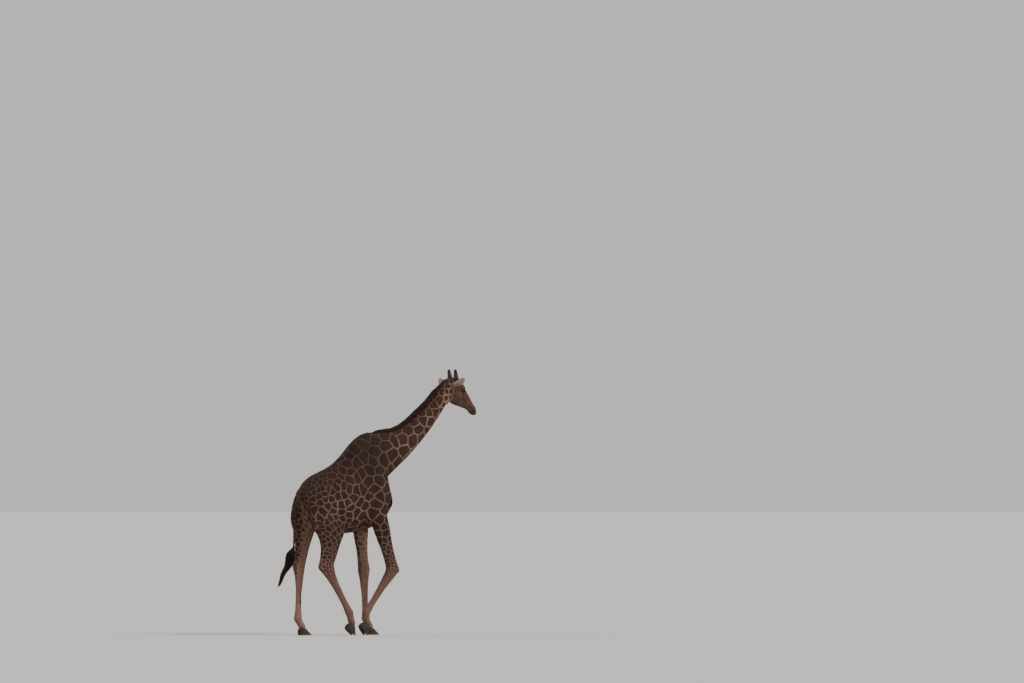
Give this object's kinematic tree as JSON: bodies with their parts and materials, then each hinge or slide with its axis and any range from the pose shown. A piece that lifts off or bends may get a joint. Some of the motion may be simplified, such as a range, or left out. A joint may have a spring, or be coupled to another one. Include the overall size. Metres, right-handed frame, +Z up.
{
  "type": "giraffe",
  "caption": "Life-size walking giraffe as a still museum model, neck carried forward, net-marked coat, dark tail tuft, short horns and cloven hooves.",
  "frame": {"origin": "on the floor, under the middle of the animal's bounding box", "axes": "+Z up, the animal walks towards -Y, its left side is +X"},
  "size_m": [0.6908, 3.3734, 3.8093],
  "materials": {
    "coat": "short flat hair, dark brown patches parted by narrow cream lines",
    "leg_coat": "short flat pale hair with small brown spots down to the hooves",
    "ear_coat": "pale short hair, longer inside the cup",
    "ossicone": "short brown hair over bone, darker at the tip",
    "mane_hair": "short stiff upright red-brown hair",
    "tail_hair": "long coarse black-brown hair",
    "hoof": "dull dark horn with fine growth rings",
    "eye": "wet dark brown eyeball"
  },
  "bodies": {
    "root": {"trunk": "coat", "neck": "coat", "mane": "mane_hair", "tail": "coat", "tail_tuft": "tail_hair", "head": "coat", "eye_left": "eye", "ossicone_left": "ossicone", "ear_left": "ear_coat", "eye_right": "eye", "ossicone_right": "ossicone", "ear_right": "ear_coat", "fore_left_upper": "coat", "fore_left_lower": "leg_coat", "fore_left_hoof_inner": "hoof", "fore_left_hoof_outer": "hoof", "fore_right_upper": "coat", "fore_right_lower": "leg_coat", "fore_right_hoof_inner": "hoof", "fore_right_hoof_outer": "hoof", "hind_left_upper": "coat", "hind_left_lower": "leg_coat", "hind_left_hoof_inner": "hoof", "hind_left_hoof_outer": "hoof", "hind_right_upper": "coat", "hind_right_lower": "leg_coat", "hind_right_hoof_inner": "hoof", "hind_right_hoof_outer": "hoof"}
  },
  "joints": []
}
